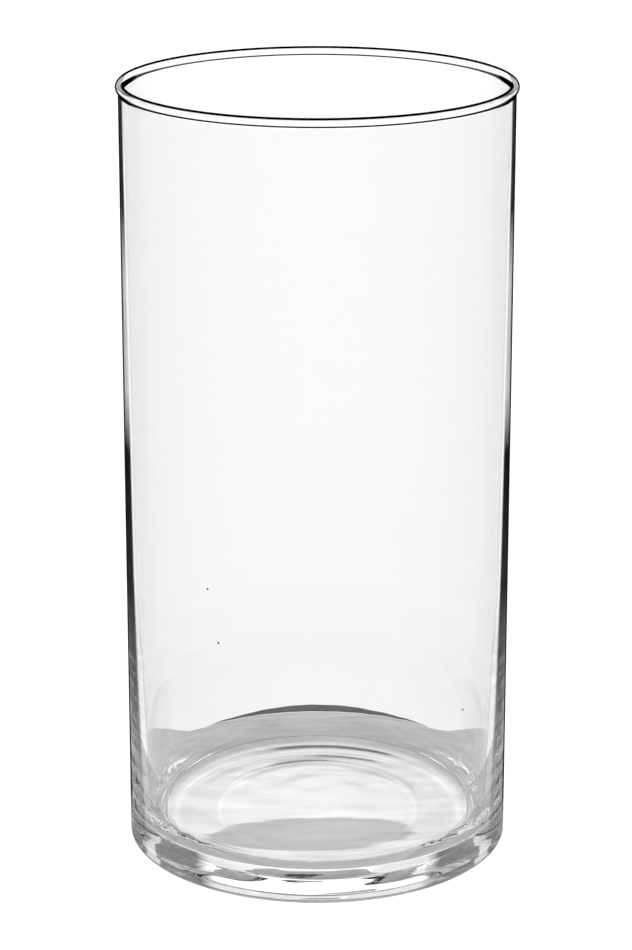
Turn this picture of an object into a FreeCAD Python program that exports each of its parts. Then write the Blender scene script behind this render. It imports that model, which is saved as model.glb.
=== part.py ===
"""Glass cylinder vase: a thick foot, a thin straight wall and a fire-polished rim.

The real vase is one piece of blown soda-lime glass.  It is modelled as its three
glassmaker's zones, which are full revolutions about Z and meet face to face:

  base      the foot: heel, resting ring, hollowed underside and inside floor
  wall      the cylinder, thin at the lip and thickening towards the floor
  rim_bead  the rounded bead that the flame leaves round the mouth

Millimetres, +Z up, origin at the centre of the surface the vase stands on.
"""
import FreeCAD, Part
import math
import os
import Sketcher

SIZES = {
    # outside
    "outer_radius": 62.6,
    "total_height": 254.0,
    # foot
    "heel_radius": 2.0,
    "ring_inner_radius": 49.5,
    "punt_depth": 2.2,
    # inside floor, highest in the middle
    "floor_radius": 54.0,
    "floor_height": 10.0,
    "floor_crown": 0.8,
    # inside of the wall, downwards: thin taper, flare, thick taper and corner
    "lip_radius": 61.1,
    "knee_radius": 59.9,
    "knee_height": 95.0,
    "flare_radius": 900.0,
    "flare_height": 68.0,
    "corner_radius": 12.0,
    # rim
    "bead_radius": 1.5,
    "bead_proud": 0.9,
    "neck_height": 2.0,
}

START, END, CENTRE = 1, 2, 3
ORIGIN = (-1, 1)
H_AXIS, V_AXIS = -1, -2
UP = FreeCAD.Vector(0, 0, 1)


def make_sheet(doc):
    """Spreadsheet of the driving dimensions, one aliased cell each."""
    sheet = doc.addObject("Spreadsheet::Sheet", "dims")
    for row, (alias, value) in enumerate(SIZES.items(), start=1):
        sheet.set("A%d" % row, alias)
        sheet.set("B%d" % row, str(value))
        sheet.setAlias("B%d" % row, alias)
    return sheet


def make_body(doc, name, height):
    """Empty body of that name, lifted to an expression's height."""
    body = doc.addObject("PartDesign::Body", name)
    body.Label = name
    body.Placement = FreeCAD.Placement()
    body.setExpression("Placement.Base.z", height)
    return body


def make_profile(body):
    """Empty half-section sketch: its x is the radius and its y is the height."""
    plane = next(item for item in body.Origin.OriginFeatures if item.Role == "XZ_Plane")
    sketch = body.newObject("Sketcher::SketchObject", body.Name + "_profile")
    sketch.AttachmentSupport = [(plane, "")]
    sketch.MapMode = "FlatFace"
    return sketch


def revolve(body, sketch):
    """Full turn of the half-section about the vase's axis."""
    turn = body.newObject("PartDesign::Revolution", body.Name + "_turn")
    turn.Profile = sketch
    turn.ReferenceAxis = (sketch, ["V_Axis"])
    turn.Angle = 360.0
    sketch.Visibility = False
    body.Tip = turn


def add_line(sketch, start, end):
    first = FreeCAD.Vector(start[0], start[1], 0)
    last = FreeCAD.Vector(end[0], end[1], 0)
    return sketch.addGeometry(Part.LineSegment(first, last), False)


def add_arc(sketch, centre, radius, start_angle, end_angle):
    """Anticlockwise arc between two angles in radians."""
    circle = Part.Circle(FreeCAD.Vector(centre[0], centre[1], 0), UP, radius)
    return sketch.addGeometry(Part.ArcOfCircle(circle, start_angle, end_angle), False)


def add_cap_arc(sketch, edge_radius, edge_height, crown):
    """Arc from the edge of a shallow cap up to its crown on the axis."""
    radius = (edge_radius ** 2 + crown ** 2) / (2 * crown)
    centre = (0, edge_height + crown - radius)
    edge_angle = math.acos(edge_radius / radius)
    return add_arc(sketch, centre, radius, edge_angle, math.pi / 2)


def join(sketch, first, first_end, second, second_end):
    sketch.addConstraint(Sketcher.Constraint("Coincident", first, first_end, second, second_end))


def blend(sketch, first, first_end, second, second_end):
    """Join two ends so that the outline runs smoothly through them."""
    sketch.addConstraint(Sketcher.Constraint("Tangent", first, first_end, second, second_end))


def on_axis(sketch, geometry, point, axis=V_AXIS):
    sketch.addConstraint(Sketcher.Constraint("PointOnObject", geometry, point, axis))


def level(sketch, geometry):
    sketch.addConstraint(Sketcher.Constraint("Horizontal", geometry))


def upright(sketch, geometry):
    sketch.addConstraint(Sketcher.Constraint("Vertical", geometry))


def drive(sketch, name, kind, places, value, expression):
    """Dimension that starts at a value and then follows the spreadsheet."""
    index = sketch.addConstraint(Sketcher.Constraint(kind, *places, value))
    sketch.renameConstraint(index, name)
    sketch.setExpression("Constraints." + name, expression)


def place(sketch, name, geometry, point, position, expressions):
    """Drive the radius and the height of one point of the outline."""
    radius_rule, height_rule = expressions
    if radius_rule:
        drive(sketch, name + "_radius", "DistanceX", (*ORIGIN, geometry, point), position[0], radius_rule)
    if height_rule:
        drive(sketch, name + "_height", "DistanceY", (*ORIGIN, geometry, point), position[1], height_rule)


def make_base(doc):
    """Foot: hollowed underside, flat resting ring, rounded heel and crowned floor."""
    size = SIZES
    outer, heel = size["outer_radius"], size["heel_radius"]
    ring, punt = size["ring_inner_radius"], size["punt_depth"]
    floor, height, crown = size["floor_radius"], size["floor_height"], size["floor_crown"]

    body = make_body(doc, "base", "0")
    sketch = make_profile(body)
    underside = add_cap_arc(sketch, ring, 0, punt)
    resting = add_line(sketch, (ring, 0), (outer - heel, 0))
    heel_arc = add_arc(sketch, (outer - heel, heel), heel, -math.pi / 2, 0)
    side = add_line(sketch, (outer, heel), (outer, height))
    seam = add_line(sketch, (outer, height), (floor, height))
    inside = add_cap_arc(sketch, floor, height, crown)
    middle = add_line(sketch, (0, height + crown), (0, punt))

    join(sketch, underside, START, resting, START)
    on_axis(sketch, resting, START, H_AXIS)
    level(sketch, resting)
    blend(sketch, resting, END, heel_arc, START)
    blend(sketch, heel_arc, END, side, START)
    upright(sketch, side)
    join(sketch, side, END, seam, START)
    level(sketch, seam)
    join(sketch, seam, END, inside, START)
    join(sketch, inside, END, middle, START)
    join(sketch, middle, END, underside, END)
    on_axis(sketch, middle, START)
    on_axis(sketch, middle, END)
    on_axis(sketch, underside, CENTRE)
    on_axis(sketch, inside, CENTRE)

    place(sketch, "ring", resting, START, (ring, 0), ("dims.ring_inner_radius", None))
    drive(sketch, "heel", "Radius", (heel_arc,), heel, "dims.heel_radius")
    place(sketch, "rim", side, END, (outer, height), ("dims.outer_radius", "dims.floor_height"))
    place(sketch, "floor", seam, END, (floor, height), ("dims.floor_radius", None))
    place(sketch, "crown", middle, START, (0, height + crown), (None, "dims.floor_height + dims.floor_crown"))
    place(sketch, "punt", middle, END, (0, punt), (None, "dims.punt_depth"))
    revolve(body, sketch)
    return body


def make_wall(doc):
    """Cylinder wall from the floor to the rim; heights here start at the floor."""
    size = SIZES
    outer, floor, lip = size["outer_radius"], size["floor_radius"], size["lip_radius"]
    knee = (size["knee_radius"], size["knee_height"] - size["floor_height"])
    top = size["total_height"] - size["bead_radius"] - size["neck_height"] - size["floor_height"]
    flare_end = size["flare_height"] - size["floor_height"]
    flare, corner = size["flare_radius"], size["corner_radius"]

    # First guess for the sketch, which then solves where the corner starts.
    # A lean is the outline's angle from the vertical, in radians.
    thin_lean = math.atan2(lip - knee[0], top - knee[1])
    flare_centre = (knee[0] - flare * math.cos(thin_lean), knee[1] + flare * math.sin(thin_lean))
    thick_lean = math.asin(math.sin(thin_lean) + (knee[1] - flare_end) / flare)
    thick_start = (flare_centre[0] + flare * math.cos(thick_lean), flare_end)
    thick_end = (thick_start[0] - (flare_end - corner) * math.tan(thick_lean), corner)
    corner_centre = (
        thick_end[0] - corner * math.cos(thick_lean),
        thick_end[1] + corner * math.sin(thick_lean),
    )
    corner_start = math.atan2(-corner_centre[1], floor - corner_centre[0])

    body = make_body(doc, "wall", "dims.floor_height")
    sketch = make_profile(body)
    seam = add_line(sketch, (floor, 0), (outer, 0))
    side = add_line(sketch, (outer, 0), (outer, top))
    shoulder = add_line(sketch, (outer, top), (lip, top))
    thin_taper = add_line(sketch, (lip, top), knee)
    flare_arc = add_arc(sketch, flare_centre, flare, -thick_lean, -thin_lean)
    thick_taper = add_line(sketch, thick_start, thick_end)
    corner_arc = add_arc(sketch, corner_centre, corner, corner_start, -thick_lean)

    join(sketch, seam, END, side, START)
    join(sketch, side, END, shoulder, START)
    join(sketch, shoulder, END, thin_taper, START)
    blend(sketch, thin_taper, END, flare_arc, END)
    blend(sketch, flare_arc, START, thick_taper, START)
    blend(sketch, thick_taper, END, corner_arc, END)
    join(sketch, corner_arc, START, seam, START)
    on_axis(sketch, seam, START, H_AXIS)
    level(sketch, seam)
    upright(sketch, side)
    level(sketch, shoulder)

    wall_top = "dims.total_height - dims.bead_radius - dims.neck_height - dims.floor_height"
    knee_rules = ("dims.knee_radius", "dims.knee_height - dims.floor_height")
    place(sketch, "floor", seam, START, (floor, 0), ("dims.floor_radius", None))
    place(sketch, "top", side, END, (outer, top), ("dims.outer_radius", wall_top))
    place(sketch, "lip", shoulder, END, (lip, top), ("dims.lip_radius", None))
    place(sketch, "knee", thin_taper, END, knee, knee_rules)
    place(sketch, "flare", flare_arc, START, thick_start, (None, "dims.flare_height - dims.floor_height"))
    drive(sketch, "flare", "Radius", (flare_arc,), flare, "dims.flare_radius")
    drive(sketch, "corner", "Radius", (corner_arc,), corner, "dims.corner_radius")
    revolve(body, sketch)
    return body


def make_rim_bead(doc):
    """Round bead on two hollow necks; heights here start at the top of the wall."""
    size = SIZES
    outer, lip = size["outer_radius"], size["lip_radius"]
    bead, neck = size["bead_radius"], size["neck_height"]
    bead_centre = (outer + size["bead_proud"] - bead, neck)

    # A neck arc stands upright on the wall and touches the bead circle from outside.
    outer_offset = outer - bead_centre[0]
    outer_neck = (outer_offset ** 2 + neck ** 2 - bead ** 2) / (2 * (bead - outer_offset))
    outer_touch = math.atan2(neck, -outer_offset - outer_neck)
    inner_offset = bead_centre[0] - lip
    inner_neck = (inner_offset ** 2 + neck ** 2 - bead ** 2) / (2 * (bead - inner_offset))
    inner_touch = math.atan2(neck, inner_offset + inner_neck)

    body = make_body(doc, "rim_bead", "dims.total_height - dims.bead_radius - dims.neck_height")
    sketch = make_profile(body)
    seam = add_line(sketch, (lip, 0), (outer, 0))
    outside = add_arc(sketch, (outer + outer_neck, 0), outer_neck, outer_touch, math.pi)
    round_arc = add_arc(sketch, bead_centre, bead, outer_touch - math.pi, inner_touch + math.pi)
    inside = add_arc(sketch, (lip - inner_neck, 0), inner_neck, 0, inner_touch)

    join(sketch, seam, END, outside, END)
    blend(sketch, outside, START, round_arc, START)
    blend(sketch, round_arc, END, inside, END)
    join(sketch, inside, START, seam, START)
    on_axis(sketch, seam, START, H_AXIS)
    level(sketch, seam)
    on_axis(sketch, outside, CENTRE, H_AXIS)
    on_axis(sketch, inside, CENTRE, H_AXIS)

    place(sketch, "lip", seam, START, (lip, 0), ("dims.lip_radius", None))
    place(sketch, "outer", seam, END, (outer, 0), ("dims.outer_radius", None))
    bead_rules = ("dims.outer_radius + dims.bead_proud - dims.bead_radius", "dims.neck_height")
    place(sketch, "bead", round_arc, CENTRE, bead_centre, bead_rules)
    drive(sketch, "bead", "Radius", (round_arc,), bead, "dims.bead_radius")
    revolve(body, sketch)
    return body


def check_document(doc, bodies):
    """Stop if any feature failed or any zone is not one valid solid."""
    failed = [item.Name for item in doc.Objects if {"Invalid", "Error"} & set(item.State)]
    if failed:
        raise RuntimeError("failed features: " + ", ".join(failed))
    for item in doc.Objects:
        if item.TypeId == "Sketcher::SketchObject" and item.solve() != 0:
            raise RuntimeError("sketch cannot be solved: " + item.Name)
    for body in bodies:
        shape = body.Shape
        if shape.isNull() or not shape.isValid() or len(shape.Solids) != 1:
            raise RuntimeError("not one valid solid: " + body.Label)


def main():
    doc = FreeCAD.newDocument("cylinder_vase")
    make_sheet(doc)
    bodies = [make_base(doc), make_wall(doc), make_rim_bead(doc)]
    doc.recompute()
    check_document(doc, bodies)
    os.makedirs("parts", exist_ok=True)
    for body in bodies:
        body.Shape.exportStep("parts/%s.step" % body.Label)
        box = body.Shape.optimalBoundingBox(False, False)
        print("%-9s %7.1f cm3  radius %.2f  z %.2f to %.2f mm"
              % (body.Label, body.Shape.Volume / 1000, box.XMax, box.ZMin, box.ZMax))


main()
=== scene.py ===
"""Glass cylinder vase on a plain white table, in soft studio light.

The three CAD zones are one piece of glass, so one continuous closed mesh stands for
them: no seam shows inside it, and light bends only where the real glass has a surface.
"""
import math

import bpy
import numpy as np
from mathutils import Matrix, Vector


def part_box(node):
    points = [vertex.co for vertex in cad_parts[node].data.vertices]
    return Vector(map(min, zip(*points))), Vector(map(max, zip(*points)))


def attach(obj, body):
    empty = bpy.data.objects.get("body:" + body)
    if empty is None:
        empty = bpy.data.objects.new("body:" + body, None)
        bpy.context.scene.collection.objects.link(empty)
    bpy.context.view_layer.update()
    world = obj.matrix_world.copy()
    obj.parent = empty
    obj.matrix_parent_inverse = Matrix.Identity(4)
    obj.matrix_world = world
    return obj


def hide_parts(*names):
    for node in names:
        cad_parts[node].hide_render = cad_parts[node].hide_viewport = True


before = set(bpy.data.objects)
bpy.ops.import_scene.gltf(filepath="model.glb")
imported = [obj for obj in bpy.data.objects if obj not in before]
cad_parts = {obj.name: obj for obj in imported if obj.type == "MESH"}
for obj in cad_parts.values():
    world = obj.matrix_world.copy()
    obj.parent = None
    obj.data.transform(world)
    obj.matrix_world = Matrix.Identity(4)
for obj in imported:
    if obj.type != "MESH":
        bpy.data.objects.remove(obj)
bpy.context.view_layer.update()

# ---- the vase, in metres; whatever the frame knows comes from the frame ----
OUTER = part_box("wall")[1].x
FLOOR_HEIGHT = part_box("wall")[0].z
FLOOR_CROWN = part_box("base")[1].z - FLOOR_HEIGHT
WALL_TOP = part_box("wall")[1].z
BEAD_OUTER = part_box("rim_bead")[1].x
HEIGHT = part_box("rim_bead")[1].z

HEEL_RADIUS = 0.002
RING_INNER = 0.0495
PUNT_DEPTH = 0.0022
FLOOR_RADIUS = 0.054
CORNER_RADIUS = 0.012
FLARE_RADIUS = 0.9
FLARE_HEIGHT = 0.068
KNEE_RADIUS = 0.0599
KNEE_HEIGHT = 0.095
LIP_RADIUS = 0.0611
BEAD_RADIUS = 0.0015

# ---- mesh: columns round the vase, and rows along each run of the outline ----
AROUND = 720
ROWS = {
    "underside": 100, "resting": 6, "heel": 8, "side": 12, "outer_neck": 6, "bead": 30,
    "inner_neck": 8, "thin_taper": 12, "flare": 16, "thick_taper": 60, "corner": 30,
    "floor_edge": 50, "floor": 80,
}
FLOOR_EDGE_WIDTH = 0.004    # ring of the floor whose rows are finer

# ---- relief: how high the ripples are, where they fade, and the turned rings ----
CORNER_RIPPLE = 0.00014
CORNER_WAVES = {"count": 16, "lobes": (16, 60), "pitch": 500}
CORNER_MIDDLE = 0.0135      # height
CORNER_REACH = 0.0035
CORNER_CALM = 0.2           # share of the corner's ripple left at the front and back
FLOOR_RIPPLE = 0.00002
FLOOR_WAVES = {"count": 10, "lobes": (0, 5), "pitch": 1000}
FLOOR_RIPPLE_EDGE = 0.053   # radius
UNDER_RIPPLE = 0.00004
UNDER_WAVES = {"count": 12, "lobes": (0, 6), "pitch": 600}
FADE_WIDTH = 0.006
AXIS_REACH = 0.008
NEAR_AXIS = 0.000001        # radius that stands for zero where it divides
GROOVES = ((0.0529, 0.0006), (0.0511, 0.0003))    # radius and depth
GROOVE_REACH = 0.0006
RIDGE_RADIUS = 0.034
RIDGE_HEIGHT = 0.00003
RIDGE_REACH = 0.0008
SLACK = 0.0005              # for telling which surface a point lies on
SEED = 7

# ---- glass: greys are (position, grey) stops over a facing or over the height's share ----
IOR = 1.52
# Tint of the glass over its facing; the darkening towards edge on is painted shade.
CLEAR_TINT_AND_EDGE_SHADE = (
    (0.0, 0.89), (0.26, 0.865), (0.48, 0.822), (0.54, 0.795), (0.63, 0.73), (0.75, 0.64),
    (1.0, 0.5),
)
BEAD_TINT_AND_EDGE_SHADE = ((0.0, 0.97), (0.35, 0.95), (0.7, 0.85), (1.0, 0.6))
# Over the height's share: the facing past which the wall is glass from edge to edge, how dark the
# painted shade of that band is, and how dark the painted outline is.
BAND_START = ((0.0, 0.612), (0.07, 0.612), (0.27, 0.68), (0.38, 0.711), (1.0, 0.791))
PAINTED_BAND_SHADE = (
    (0.0, 0.2), (0.10, 0.35), (0.16, 0.6), (0.22, 0.76), (0.30, 0.88), (0.36, 0.97),
    (0.54, 0.99), (0.62, 0.4), (0.76, 0.4), (0.85, 0.97),
)
BAND_FADE = 0.03
OUTLINE_DEPTH = ((0.0, 0.0), (0.02, 0.15), (0.07, 1.0), (1.0, 1.0))
# Painted dark outlines over a facing: on the wall, on its inside and on the bead.
PAINTED_OUTLINE = ((0.0, 0.0), (0.832, 0.0), (0.895, 1.0))
INSIDE_OUTLINE = ((0.0, 0.0), (0.86, 0.0), (0.93, 0.8))
BEAD_OUTLINE = ((0.0, 0.0), (0.10, 0.0), (0.17, 1.0))
# The upward parts of the normal between which the painted outline grows, and its weight at each.
BEAD_UNDERSIDE = (-0.3, -0.05, 0.5, 1.0)
SEED_RADIUS = 0.00035
SEEDS = (
    (-0.0310, -0.0544, 0.0860), (0.0465, -0.0419, 0.0586), (-0.0342, -0.0524, 0.1032),
)

# ---- stage ----
TABLE_RADIUS = 8.0
TABLE_SIDES = 96
TABLE_GREY = 0.9
TABLE_HEIGHT = -0.0004
CARD_HEIGHT = -0.0002
CARD_HALF_WIDTH = 0.1
CARD_DEPTH = 0.078
CARD_FRONT = 0.095
CARD_BULGE = 0.011
BULGE_HALF_WIDTH = 0.045
CARD_SQUARENESS = 4
CARD_BACK_POINTS = 201
CARD_FRONT_POINTS = 60
# Black ribbon of painted shade behind the card's far edge.
SHADE_RIBBON_POINTS = 61
SHADE_RIBBON_HEIGHT = 0.0055
SHADE_RIBBON_BEHIND = 0.0005
# Painted shadow and light of the card over the distance from the vase's axis, in units of RING_UNIT:
# a pale pool of painted light under the foot with bright painted rings, and darker painted shadow
# beyond.
RING_UNIT = 0.1
CARD_PAINTED_LIGHT = (
    (0.0, 0.78), (0.325, 0.78), (0.335, 0.88), (0.345, 0.72), (0.46, 0.70), (0.48, 0.9),
    (0.50, 0.72), (0.53, 0.358),
)
PATCH_CENTRE = (-0.003, -0.021, 0)
PATCH_HALF_SIZE = (0.034, 0.0135, 1)
PATCH_TURN = 0.12
PATCH_RAGGED = 0.35
# Where each painted light starts and stops changing, and the light at each of the two: the patch is
# a painted shadow, dimmer inside, and the streaks make the painted light uneven.
PATCH_LIGHT = (0.95, 1.05, 0.765, 1.55)
STREAK_LIGHT = (0.35, 0.65, 0.86, 1.12)
STREAKS_PER_METRE = (28, 150, 1)

# ---- light: strengths over the share of a direction that is up or sideways ----
ROOM_LIGHT = 1.35
OVERHEAD = ((0.0, 1.0), (0.66, 1.0), (0.70, 0.0))
SIDE_PANELS = (
    (0.0, 1.3), (0.38, 1.3), (0.44, 0.28), (0.69, 0.34), (0.705, 1.3), (0.8, 1.3),
    (0.82, 0.22), (0.87, 0.25), (0.885, 1.2), (0.91, 1.2), (0.93, 0.4), (1.0, 0.4),
)
BELOW_PANELS = ((0.0, 1.3), (0.15, 1.3), (0.25, 0.0))
BOUNCES = 40

CLIP_END = 50.0
SENSOR_WIDTH = 36.0         # millimetres
LONG_SIDE = 950             # pixels


# ---- the outline, as (radius, height) points ----

def cap(radii, edge_height, crown):
    """Points of a shallow spherical cap at those radii, the first of which is its edge."""
    sphere = (radii[0] ** 2 + crown ** 2) / (2 * crown)
    rise = np.sqrt(sphere ** 2 - radii ** 2) - (sphere - crown)
    return list(zip(radii, edge_height + rise))


def arc(centre, radius, start, end, steps):
    """Points of an arc between two angles in radians, both ends included."""
    angles = np.linspace(start, end, steps + 1)
    return [(centre[0] + radius * math.cos(a), centre[1] + radius * math.sin(a)) for a in angles]


def straight(start, end, steps):
    """Points of a straight run, without its two ends."""
    shares = np.linspace(0, 1, steps + 1)[1:-1]
    return [(start[0] + (end[0] - start[0]) * t, start[1] + (end[1] - start[1]) * t) for t in shares]


def bead_section():
    """The rim: hollow neck, round bead and hollow neck, from the outside to the inside."""
    centre = (BEAD_OUTER - BEAD_RADIUS, HEIGHT - BEAD_RADIUS)
    neck = centre[1] - WALL_TOP
    outer_gap = OUTER - centre[0]
    outer_neck = (outer_gap ** 2 + neck ** 2 - BEAD_RADIUS ** 2) / (2 * (BEAD_RADIUS - outer_gap))
    outer_touch = math.atan2(neck, -outer_gap - outer_neck)
    inner_gap = centre[0] - LIP_RADIUS
    inner_neck = (inner_gap ** 2 + neck ** 2 - BEAD_RADIUS ** 2) / (2 * (BEAD_RADIUS - inner_gap))
    inner_touch = math.atan2(neck, inner_gap + inner_neck)
    outer_centre = (OUTER + outer_neck, WALL_TOP)
    inner_centre = (LIP_RADIUS - inner_neck, WALL_TOP)
    up = arc(outer_centre, outer_neck, math.pi, outer_touch, ROWS["outer_neck"])
    over = arc(centre, BEAD_RADIUS, outer_touch - math.pi, inner_touch + math.pi, ROWS["bead"])
    down = arc(inner_centre, inner_neck, inner_touch, 0, ROWS["inner_neck"])
    return up[:-1] + over + down[1:]


def inside_section():
    """Inside of the wall, downwards: thin taper, flare, thick taper and corner to the floor.

    A lean is the outline's angle from the vertical, in radians.
    """
    thin_lean = math.atan2(LIP_RADIUS - KNEE_RADIUS, WALL_TOP - KNEE_HEIGHT)
    thick_lean = math.asin(math.sin(thin_lean) + (KNEE_HEIGHT - FLARE_HEIGHT) / FLARE_RADIUS)
    flare = (
        KNEE_RADIUS - FLARE_RADIUS * math.cos(thin_lean),
        KNEE_HEIGHT + FLARE_RADIUS * math.sin(thin_lean),
    )
    flare_end = (flare[0] + FLARE_RADIUS * math.cos(thick_lean), FLARE_HEIGHT)
    # The corner's centre lies one radius inside the thick taper, and the corner's arc
    # reaches the floor's edge.
    inwards = np.array((-math.cos(thick_lean), math.sin(thick_lean)))
    downwards = np.array((-math.sin(thick_lean), -math.cos(thick_lean)))
    floor_edge = np.array((FLOOR_RADIUS, FLOOR_HEIGHT))
    offset = floor_edge - np.array(flare_end) - CORNER_RADIUS * inwards
    depth, width = offset @ downwards, offset @ inwards
    run = depth - math.sqrt(CORNER_RADIUS ** 2 - width ** 2)
    corner_start = np.array(flare_end) + run * downwards
    corner = corner_start + CORNER_RADIUS * inwards
    corner_end = math.atan2(FLOOR_HEIGHT - corner[1], FLOOR_RADIUS - corner[0])
    lip, knee = (LIP_RADIUS, WALL_TOP), (KNEE_RADIUS, KNEE_HEIGHT)
    thin = straight(lip, knee, ROWS["thin_taper"])
    curve = arc(flare, FLARE_RADIUS, -thin_lean, -thick_lean, ROWS["flare"])
    thick = straight(flare_end, corner_start, ROWS["thick_taper"])
    turn = arc(corner, CORNER_RADIUS, -thick_lean, corner_end, ROWS["corner"])
    return thin + curve + thick + turn


def section():
    """Half-section of the glass, from the underside's middle round to the floor's middle."""
    under_radii = np.linspace(RING_INNER, 0, ROWS["underside"], endpoint=False)
    underside = cap(under_radii, 0, PUNT_DEPTH)[::-1]
    resting = straight((RING_INNER, 0), (OUTER - HEEL_RADIUS, 0), ROWS["resting"])
    heel = arc((OUTER - HEEL_RADIUS, HEEL_RADIUS), HEEL_RADIUS, -math.pi / 2, 0, ROWS["heel"])
    side = straight((OUTER, HEEL_RADIUS), (OUTER, WALL_TOP), ROWS["side"])
    fine_end = FLOOR_RADIUS - FLOOR_EDGE_WIDTH
    fine = np.linspace(FLOOR_RADIUS, fine_end, ROWS["floor_edge"], endpoint=False)
    coarse = np.linspace(fine_end, 0, ROWS["floor"], endpoint=False)
    floor = cap(np.concatenate([fine, coarse]), FLOOR_HEIGHT, FLOOR_CROWN)[1:]
    return underside + resting + heel + side + bead_section() + inside_section() + floor


# ---- the mesh ----

def lathe(name, outline):
    """Closed mesh turned from an outline that runs from the axis round to the axis."""
    rows = np.array(outline)
    angles = np.arange(AROUND) * (2 * math.pi / AROUND)
    x = rows[:, 0:1] * np.cos(angles)
    y = rows[:, 0:1] * np.sin(angles)
    z = np.repeat(rows[:, 1:2], AROUND, axis=1)
    verts = np.stack([x, y, z], axis=2).reshape(-1, 3)
    count = len(rows)
    low, high = len(verts), len(verts) + 1
    verts = np.vstack([verts, [0, 0, PUNT_DEPTH], [0, 0, FLOOR_HEIGHT + FLOOR_CROWN]])
    faces = []
    for row in range(count - 1):
        for column in range(AROUND):
            beside = (column + 1) % AROUND
            a, b = row * AROUND + column, row * AROUND + beside
            faces.append((a, b, b + AROUND, a + AROUND))
    last = (count - 1) * AROUND
    for column in range(AROUND):
        beside = (column + 1) % AROUND
        faces.append((low, beside, column))
        faces.append((high, last + column, last + beside))
    mesh = bpy.data.meshes.new(name)
    mesh.from_pydata(verts.tolist(), [], faces)
    mesh.shade_smooth()
    mesh.validate()
    piece = bpy.data.objects.new(name, mesh)
    bpy.context.scene.collection.objects.link(piece)
    return piece


def waves(random, angle, along, count, lobes, pitch):
    """Crossing waves round the vase, of about unit height; along runs up the surface in metres."""
    total = 0
    for _ in range(count):
        around = random.integers(*lobes)
        slant = random.uniform(-pitch, pitch)
        phase = random.uniform(0, 2 * math.pi)
        total = total + np.cos(around * angle + slant * along + phase)
    return total / math.sqrt(count)


def bump(values, middle, reach):
    """Bell of height one round the middle."""
    return np.exp(-((values - middle) / reach) ** 2)


def fade_in(radius, edge):
    """0 at the edge's radius and beyond it, 1 a fade's width inside it."""
    return np.clip((edge - radius) / FADE_WIDTH, 0, 1)


def ripple(piece):
    """Relief of the moulded foot: ripples in the corner, on the floor and under it, and rings."""
    random = np.random.default_rng(SEED)
    mesh = piece.data
    points = np.empty(len(mesh.vertices) * 3)
    mesh.vertices.foreach_get("co", points)
    points = points.reshape(-1, 3)
    radius = np.hypot(points[:, 0], points[:, 1])
    height = points[:, 2]
    angle = np.arctan2(points[:, 1], points[:, 0])
    inside = (radius < OUTER - SLACK) & (height > FLOOR_HEIGHT - SLACK) & (height < KNEE_HEIGHT)
    under = (height < PUNT_DEPTH + SLACK) & (radius < RING_INNER)

    # The corner is roughest at the vase's left and right.
    rough = CORNER_CALM + (1 - CORNER_CALM) * np.cos(angle) ** 4
    corner = inside * bump(height, CORNER_MIDDLE, CORNER_REACH) * rough
    push = CORNER_RIPPLE * corner * waves(random, angle, height, **CORNER_WAVES)
    points[:, :2] += (points[:, :2].T / np.maximum(radius, NEAR_AXIS) * push).T

    # Waves round the axis clash where they meet on it, so they fade out there.
    off_axis = 1 - bump(radius, 0, AXIS_REACH)
    floor = inside * off_axis * fade_in(radius, FLOOR_RIPPLE_EDGE)
    points[:, 2] += FLOOR_RIPPLE * floor * waves(random, angle, radius, **FLOOR_WAVES)
    for groove_radius, depth in GROOVES:
        points[:, 2] -= depth * inside * bump(radius, groove_radius, GROOVE_REACH)
    below = under * off_axis * fade_in(radius, RING_INNER)
    points[:, 2] += UNDER_RIPPLE * below * waves(random, angle, radius, **UNDER_WAVES)
    points[:, 2] += RIDGE_HEIGHT * under * bump(radius, RIDGE_RADIUS, RIDGE_REACH)
    mesh.vertices.foreach_set("co", points.ravel())
    mesh.update()


# ---- shader nodes ----

def new_material(name, shader_type="ShaderNodeBsdfPrincipled"):
    """Material of one shader; gives the material, its nodes, its links and the shader."""
    material = bpy.data.materials.new(name)
    material.use_nodes = True
    nodes, links = material.node_tree.nodes, material.node_tree.links
    nodes.clear()
    output = nodes.new("ShaderNodeOutputMaterial")
    output.name = "output"
    shader = nodes.new(shader_type)
    links.new(shader.outputs[0], output.inputs["Surface"])
    return material, nodes, links, shader


def coordinates(nodes, kind):
    """Texture coordinates of that kind, such as Object or Normal."""
    return nodes.new("ShaderNodeTexCoord").outputs[kind]


def split_xyz(nodes, links, vector):
    """The three numbers of a vector, by their names X, Y and Z."""
    split = nodes.new("ShaderNodeSeparateXYZ")
    links.new(vector, split.inputs["Vector"])
    return split.outputs


def math_node(nodes, links, operation, *values):
    """Math node fed by sockets or plain numbers; gives its output socket."""
    node = nodes.new("ShaderNodeMath")
    node.operation = operation
    for socket, value in zip(node.inputs, values):
        if isinstance(value, (int, float)):
            socket.default_value = value
        else:
            links.new(value, socket)
    return node.outputs["Value"]


def map_range(nodes, links, value, start, end, low, high):
    """Number that goes from low to high while the value goes from start to end."""
    node = nodes.new("ShaderNodeMapRange")
    for name, number in (("From Min", start), ("From Max", end), ("To Min", low), ("To Max", high)):
        node.inputs[name].default_value = number
    links.new(value, node.inputs["Value"])
    return node.outputs["Result"]


def grey_ramp(nodes, links, factor, stops):
    """Colour ramp over a factor, with (position, grey) stops; gives its colour."""
    ramp = nodes.new("ShaderNodeValToRGB")
    elements = ramp.color_ramp.elements
    elements[0].position = stops[0][0]
    elements[1].position = stops[-1][0]
    for position, _ in stops[1:-1]:
        elements.new(position)
    for element, (_, grey) in zip(elements, stops):
        element.color = (grey, grey, grey, 1)
    links.new(factor, ramp.inputs["Fac"])
    return ramp.outputs["Color"]


def facing_socket(nodes):
    """Facing of the surface: 0 where it is seen head on, 1 where it is seen edge on."""
    facing = nodes.new("ShaderNodeLayerWeight")
    facing.inputs["Blend"].default_value = 0.5
    return facing.outputs["Facing"]


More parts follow.
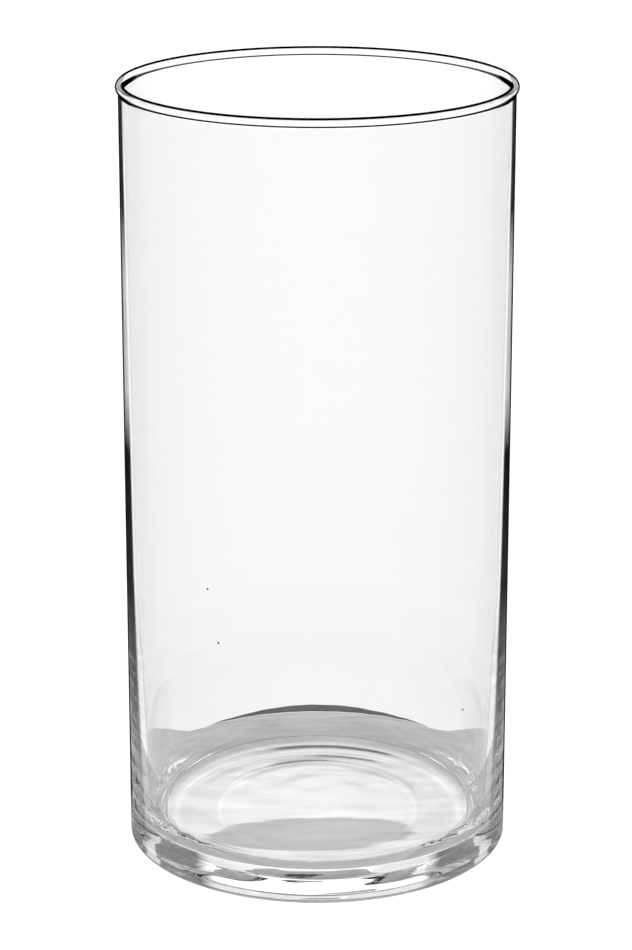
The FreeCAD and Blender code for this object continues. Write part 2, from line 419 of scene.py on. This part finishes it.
def across_socket(nodes, links, facing, along):
    """How edge-on a tube or wall is across its run, whichever way the run leans from the eye."""
    side = facing_socket(nodes)
    links.new(along, side.node.inputs["Normal"])
    lengthwise = math_node(nodes, links, "SUBTRACT", 1.0, side)
    square = math_node(nodes, links, "POWER", lengthwise, 2.0)
    rest = math_node(nodes, links, "SUBTRACT", 1.0, square)
    reach = math_node(nodes, links, "SQRT", rest)
    head_on = math_node(nodes, links, "SUBTRACT", 1.0, facing)
    share = math_node(nodes, links, "DIVIDE", head_on, reach)
    return math_node(nodes, links, "SUBTRACT", 1.0, share)


def round_the_rim(nodes, links):
    """Direction in which the rim runs."""
    along = nodes.new("ShaderNodeVectorMath")
    along.operation = "CROSS_PRODUCT"
    along.inputs[0].default_value = (0, 0, 1)
    links.new(coordinates(nodes, "Object"), along.inputs[1])
    unit = nodes.new("ShaderNodeVectorMath")
    unit.operation = "NORMALIZE"
    links.new(along.outputs["Vector"], unit.inputs[0])
    return unit.outputs["Vector"]


def up_the_wall(nodes):
    """Direction in which the wall runs."""
    upright = nodes.new("ShaderNodeCombineXYZ")
    upright.inputs["Z"].default_value = 1.0
    return upright.outputs["Vector"]


# ---- glass ----

def seeds(nodes, links):
    """Tiny dark seeds in the glass: one inside a seed, none elsewhere."""
    place = coordinates(nodes, "Object")
    found = 0.0
    for spot in SEEDS:
        away = nodes.new("ShaderNodeVectorMath")
        away.operation = "DISTANCE"
        away.inputs[1].default_value = spot
        links.new(place, away.inputs[0])
        near = math_node(nodes, links, "LESS_THAN", away.outputs["Value"], SEED_RADIUS)
        found = math_node(nodes, links, "MAXIMUM", found, near)
    return found


def outside_painted_shade(nodes, links, facing):
    """Darkness of the outer surface: its seeds, and painted shade, which is the band of edge-on
    glass and its outline.
    """
    place = split_xyz(nodes, links, coordinates(nodes, "Object"))
    height = math_node(nodes, links, "DIVIDE", place["Z"], HEIGHT)
    across = across_socket(nodes, links, facing, up_the_wall(nodes))
    start = grey_ramp(nodes, links, height, BAND_START)
    past = math_node(nodes, links, "SUBTRACT", across, start)
    share = math_node(nodes, links, "MULTIPLY", past, 1 / BAND_FADE)
    above_zero = math_node(nodes, links, "MAXIMUM", share, 0.0)
    inside = math_node(nodes, links, "MINIMUM", above_zero, 1.0)
    depth = grey_ramp(nodes, links, height, PAINTED_BAND_SHADE)
    band = math_node(nodes, links, "MULTIPLY", inside, depth)
    line = grey_ramp(nodes, links, across, PAINTED_OUTLINE)
    limit = grey_ramp(nodes, links, height, OUTLINE_DEPTH)
    outline = math_node(nodes, links, "MULTIPLY", line, limit)
    edge = math_node(nodes, links, "MAXIMUM", band, outline)
    return math_node(nodes, links, "MAXIMUM", seeds(nodes, links), edge)


def inside_painted_shade(nodes, links, facing):
    """Painted shade of the inner surface: its dark outline."""
    return grey_ramp(nodes, links, facing, INSIDE_OUTLINE)


def bead_painted_shade(nodes, links, facing):
    """Painted shade of the rim bead: its dark outline, which is thinner below, and its two dark
    ends.
    """
    across = across_socket(nodes, links, facing, round_the_rim(nodes, links))
    normal = split_xyz(nodes, links, coordinates(nodes, "Normal"))
    upper = map_range(nodes, links, normal["Z"], *BEAD_UNDERSIDE)
    weighed = math_node(nodes, links, "MULTIPLY", across, upper)
    tube = grey_ramp(nodes, links, weighed, BEAD_OUTLINE)
    # Where the bead runs away from the eye, at its two ends, it has the wall's painted outline.
    past_ends = across_socket(nodes, links, facing, up_the_wall(nodes))
    ends = grey_ramp(nodes, links, past_ends, PAINTED_OUTLINE)
    return math_node(nodes, links, "MAXIMUM", tube, ends)


def glass_material(name, tint, edge):
    """Clear glass with painted shade: darker by facing, and black where the edge rule says so."""
    material, nodes, links, shader = new_material(name)
    shader.inputs["Transmission Weight"].default_value = 1.0
    shader.inputs["Roughness"].default_value = 0.0
    shader.inputs["IOR"].default_value = IOR
    facing = facing_socket(nodes)
    links.new(grey_ramp(nodes, links, facing, tint), shader.inputs["Base Color"])
    # Black, mixed in as painted shade.
    dark = nodes.new("ShaderNodeBsdfDiffuse")
    dark.inputs["Color"].default_value = (0, 0, 0, 1)
    mix = nodes.new("ShaderNodeMixShader")
    links.new(edge(nodes, links, facing), mix.inputs["Fac"])
    links.new(shader.outputs["BSDF"], mix.inputs[1])
    links.new(dark.outputs["BSDF"], mix.inputs[2])
    links.new(mix.outputs["Shader"], nodes["output"].inputs["Surface"])
    return material


def glaze(piece):
    """Give the bead, the faces turned from the axis and the faces turned to it their glass."""
    for name, tint, edge in (
        ("glass_outside", CLEAR_TINT_AND_EDGE_SHADE, outside_painted_shade),
        ("glass_inside", CLEAR_TINT_AND_EDGE_SHADE, inside_painted_shade),
        ("glass_bead", BEAD_TINT_AND_EDGE_SHADE, bead_painted_shade),
    ):
        piece.data.materials.append(glass_material(name, tint, edge))
    outside, inside, bead = range(3)
    for face in piece.data.polygons:
        turned_out = face.normal.x * face.center.x + face.normal.y * face.center.y > 0
        if face.center.z > WALL_TOP:
            face.material_index = bead
        else:
            face.material_index = outside if turned_out else inside


# ---- stage ----

def stage_piece(name, points, faces, material):
    """Mesh that belongs to the stage and not to the vase."""
    mesh = bpy.data.meshes.new(name)
    mesh.from_pydata(points, [], faces)
    mesh.materials.append(material)
    piece = bpy.data.objects.new(name, mesh)
    bpy.context.scene.collection.objects.link(piece)
    return piece


def flat_sheet(name, outline, height, material):
    """Flat stage piece with that outline, lying at that height."""
    points = [(x, y, height) for x, y in outline]
    return stage_piece(name, points, [tuple(range(len(points)))], material)


def make_table():
    """Round white table top, large enough to reach the horizon of a low view."""
    material, _, _, shader = new_material("white_table")
    shader.inputs["Base Color"].default_value = (TABLE_GREY, TABLE_GREY, TABLE_GREY, 1)
    shader.inputs["Roughness"].default_value = 1.0
    shader.inputs["Specular IOR Level"].default_value = 0.0
    angles = np.linspace(0, 2 * math.pi, TABLE_SIDES, endpoint=False)
    rim = [(TABLE_RADIUS * math.cos(a), TABLE_RADIUS * math.sin(a)) for a in angles]
    flat_sheet("table", rim, TABLE_HEIGHT, material)


def painted_card_material():
    """Glowing card of painted light and shade: a pale painted pool of light under the foot, painted
    shadow beyond it, uneven painted streaks and a painted shadow patch towards the front.
    """
    material, nodes, links, glow = new_material("painted_shadow_and_light_card", "ShaderNodeEmission")
    place = coordinates(nodes, "Object")
    from_axis = nodes.new("ShaderNodeVectorMath")
    from_axis.operation = "LENGTH"
    links.new(place, from_axis.inputs[0])
    rings = math_node(nodes, links, "MULTIPLY", from_axis.outputs["Value"], 1 / RING_UNIT)
    links.new(grey_ramp(nodes, links, rings, CARD_PAINTED_LIGHT), glow.inputs["Color"])

    stretch = nodes.new("ShaderNodeMapping")
    stretch.inputs["Scale"].default_value = STREAKS_PER_METRE
    links.new(place, stretch.inputs["Vector"])
    streaks = nodes.new("ShaderNodeTexNoise")
    streaks.inputs["Scale"].default_value = 1.0
    streaks.inputs["Detail"].default_value = 3.0
    streaks.inputs["Distortion"].default_value = 0.6
    links.new(stretch.outputs["Vector"], streaks.inputs["Vector"])
    streak = streaks.outputs["Fac"]

    # The patch is a painted shadow. As a texture mapping, the patch's place, turn and size make its
    # edge the unit circle.
    patch = nodes.new("ShaderNodeMapping")
    patch.vector_type = "TEXTURE"
    patch.inputs["Location"].default_value = PATCH_CENTRE
    patch.inputs["Rotation"].default_value = (0, 0, PATCH_TURN)
    patch.inputs["Scale"].default_value = PATCH_HALF_SIZE
    links.new(place, patch.inputs["Vector"])
    from_patch = nodes.new("ShaderNodeVectorMath")
    from_patch.operation = "LENGTH"
    links.new(patch.outputs["Vector"], from_patch.inputs[0])
    ragged = math_node(nodes, links, "MULTIPLY_ADD", streak, PATCH_RAGGED, -PATCH_RAGGED / 2)
    edge = math_node(nodes, links, "ADD", from_patch.outputs["Value"], ragged)
    patch_light = map_range(nodes, links, edge, *PATCH_LIGHT)
    streak_light = map_range(nodes, links, streak, *STREAK_LIGHT)
    strength = math_node(nodes, links, "MULTIPLY", patch_light, streak_light)
    links.new(strength, glow.inputs["Strength"])
    return material


def glass_only(sheet):
    """Show a stage sheet only in the glass."""
    sheet.visible_camera = False
    sheet.visible_diffuse = False
    sheet.visible_shadow = False


def far_edge(across):
    """How far behind the vase's axis the card reaches there; it bulges in the middle."""
    round_off = (1 - (across / CARD_HALF_WIDTH) ** CARD_SQUARENESS) ** (1 / CARD_SQUARENESS)
    bulge = CARD_BULGE * np.maximum(0, 1 - (across / BULGE_HALF_WIDTH) ** 2)
    return CARD_DEPTH * round_off + bulge


def make_painted_card():
    """Card of painted shadow and light under the vase, which only the glass shows."""
    back = np.linspace(CARD_HALF_WIDTH, -CARD_HALF_WIDTH, CARD_BACK_POINTS)
    front = np.linspace(math.pi, 2 * math.pi, CARD_FRONT_POINTS)[1:-1]
    outline = [*zip(back, far_edge(back))]
    outline += [(CARD_HALF_WIDTH * math.cos(a), CARD_FRONT * math.sin(a)) for a in front]
    glass_only(flat_sheet("card", outline, CARD_HEIGHT, painted_card_material()))


def make_painted_shade_ribbon():
    """Black upright ribbon of painted shade behind the bulge of the card's far edge, which only the
    glass shows.
    """
    along = np.linspace(BULGE_HALF_WIDTH, -BULGE_HALF_WIDTH, SHADE_RIBBON_POINTS)
    rise = SHADE_RIBBON_HEIGHT * (1 - (along / BULGE_HALF_WIDTH) ** 2)
    edge = far_edge(along) + SHADE_RIBBON_BEHIND
    points = [*zip(along, edge, 0 * along), *zip(along, edge, rise)]
    count = len(along)
    faces = [(i, i + 1, count + i + 1, count + i) for i in range(count - 1)]
    material, _, _, glow = new_material("painted_shade_ribbon", "ShaderNodeEmission")
    glow.inputs["Color"].default_value = (0, 0, 0, 1)
    glass_only(stage_piece("gap", points, faces, material))


def make_sky():
    """Even white light for the eye and the table; the glass sees dark panels in it too."""
    world = bpy.data.worlds.new("studio")
    world.use_nodes = True
    bpy.context.scene.world = world
    nodes, links = world.node_tree.nodes, world.node_tree.links
    nodes.clear()
    room = nodes.new("ShaderNodeBackground")
    room.inputs["Color"].default_value = (1, 1, 1, 1)
    room.inputs["Strength"].default_value = ROOM_LIGHT
    panels = nodes.new("ShaderNodeBackground")
    direction = split_xyz(nodes, links, coordinates(nodes, "Generated"))
    links.new(grey_ramp(nodes, links, direction["Z"], OVERHEAD), panels.inputs["Color"])
    sideways = math_node(nodes, links, "ABSOLUTE", direction["X"])
    sides = grey_ramp(nodes, links, sideways, SIDE_PANELS)
    low = grey_ramp(nodes, links, direction["Z"], BELOW_PANELS)
    links.new(math_node(nodes, links, "MAXIMUM", sides, low), panels.inputs["Strength"])
    ray = nodes.new("ShaderNodeLightPath").outputs
    plain = math_node(nodes, links, "MAXIMUM", ray["Is Camera Ray"], ray["Is Diffuse Ray"])
    mix = nodes.new("ShaderNodeMixShader")
    links.new(plain, mix.inputs["Fac"])
    links.new(panels.outputs["Background"], mix.inputs[1])
    links.new(room.outputs["Background"], mix.inputs[2])
    output = nodes.new("ShaderNodeOutputWorld")
    links.new(mix.outputs["Shader"], output.inputs["Surface"])


def make_camera(distance, height, focal_pixels, pitch, side):
    """Camera in front of the vase, tilted down by the pitch in radians."""
    data = bpy.data.cameras.new("camera")
    data.sensor_width = SENSOR_WIDTH
    data.lens = focal_pixels * SENSOR_WIDTH / LONG_SIDE
    data.clip_end = CLIP_END
    camera = bpy.data.objects.new("camera", data)
    camera.location = (side, -distance, height)
    camera.rotation_euler = (math.pi / 2 - pitch, 0, 0)
    bpy.context.scene.collection.objects.link(camera)
    bpy.context.scene.camera = camera


def set_colours_and_bounces():
    """Plain colours, and enough bounces for light to cross the foot and both walls."""
    bpy.context.scene.view_settings.view_transform = "Standard"
    cycles = bpy.context.scene.cycles
    cycles.max_bounces = BOUNCES
    cycles.transmission_bounces = BOUNCES
    cycles.glossy_bounces = BOUNCES


def make_vase():
    """The vase's one piece of glass, in place of its three CAD zones."""
    vase = lathe("vase_glass", section())
    ripple(vase)
    glaze(vase)
    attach(vase, "root")
    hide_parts("base", "wall", "rim_bead")
    vase.visible_diffuse = False


make_camera(distance=1.0, height=0.4377, focal_pixels=3216.3, pitch=0.3039, side=-0.0004)
make_table()
make_painted_card()
make_painted_shade_ribbon()
make_sky()
set_colours_and_bounces()
make_vase()
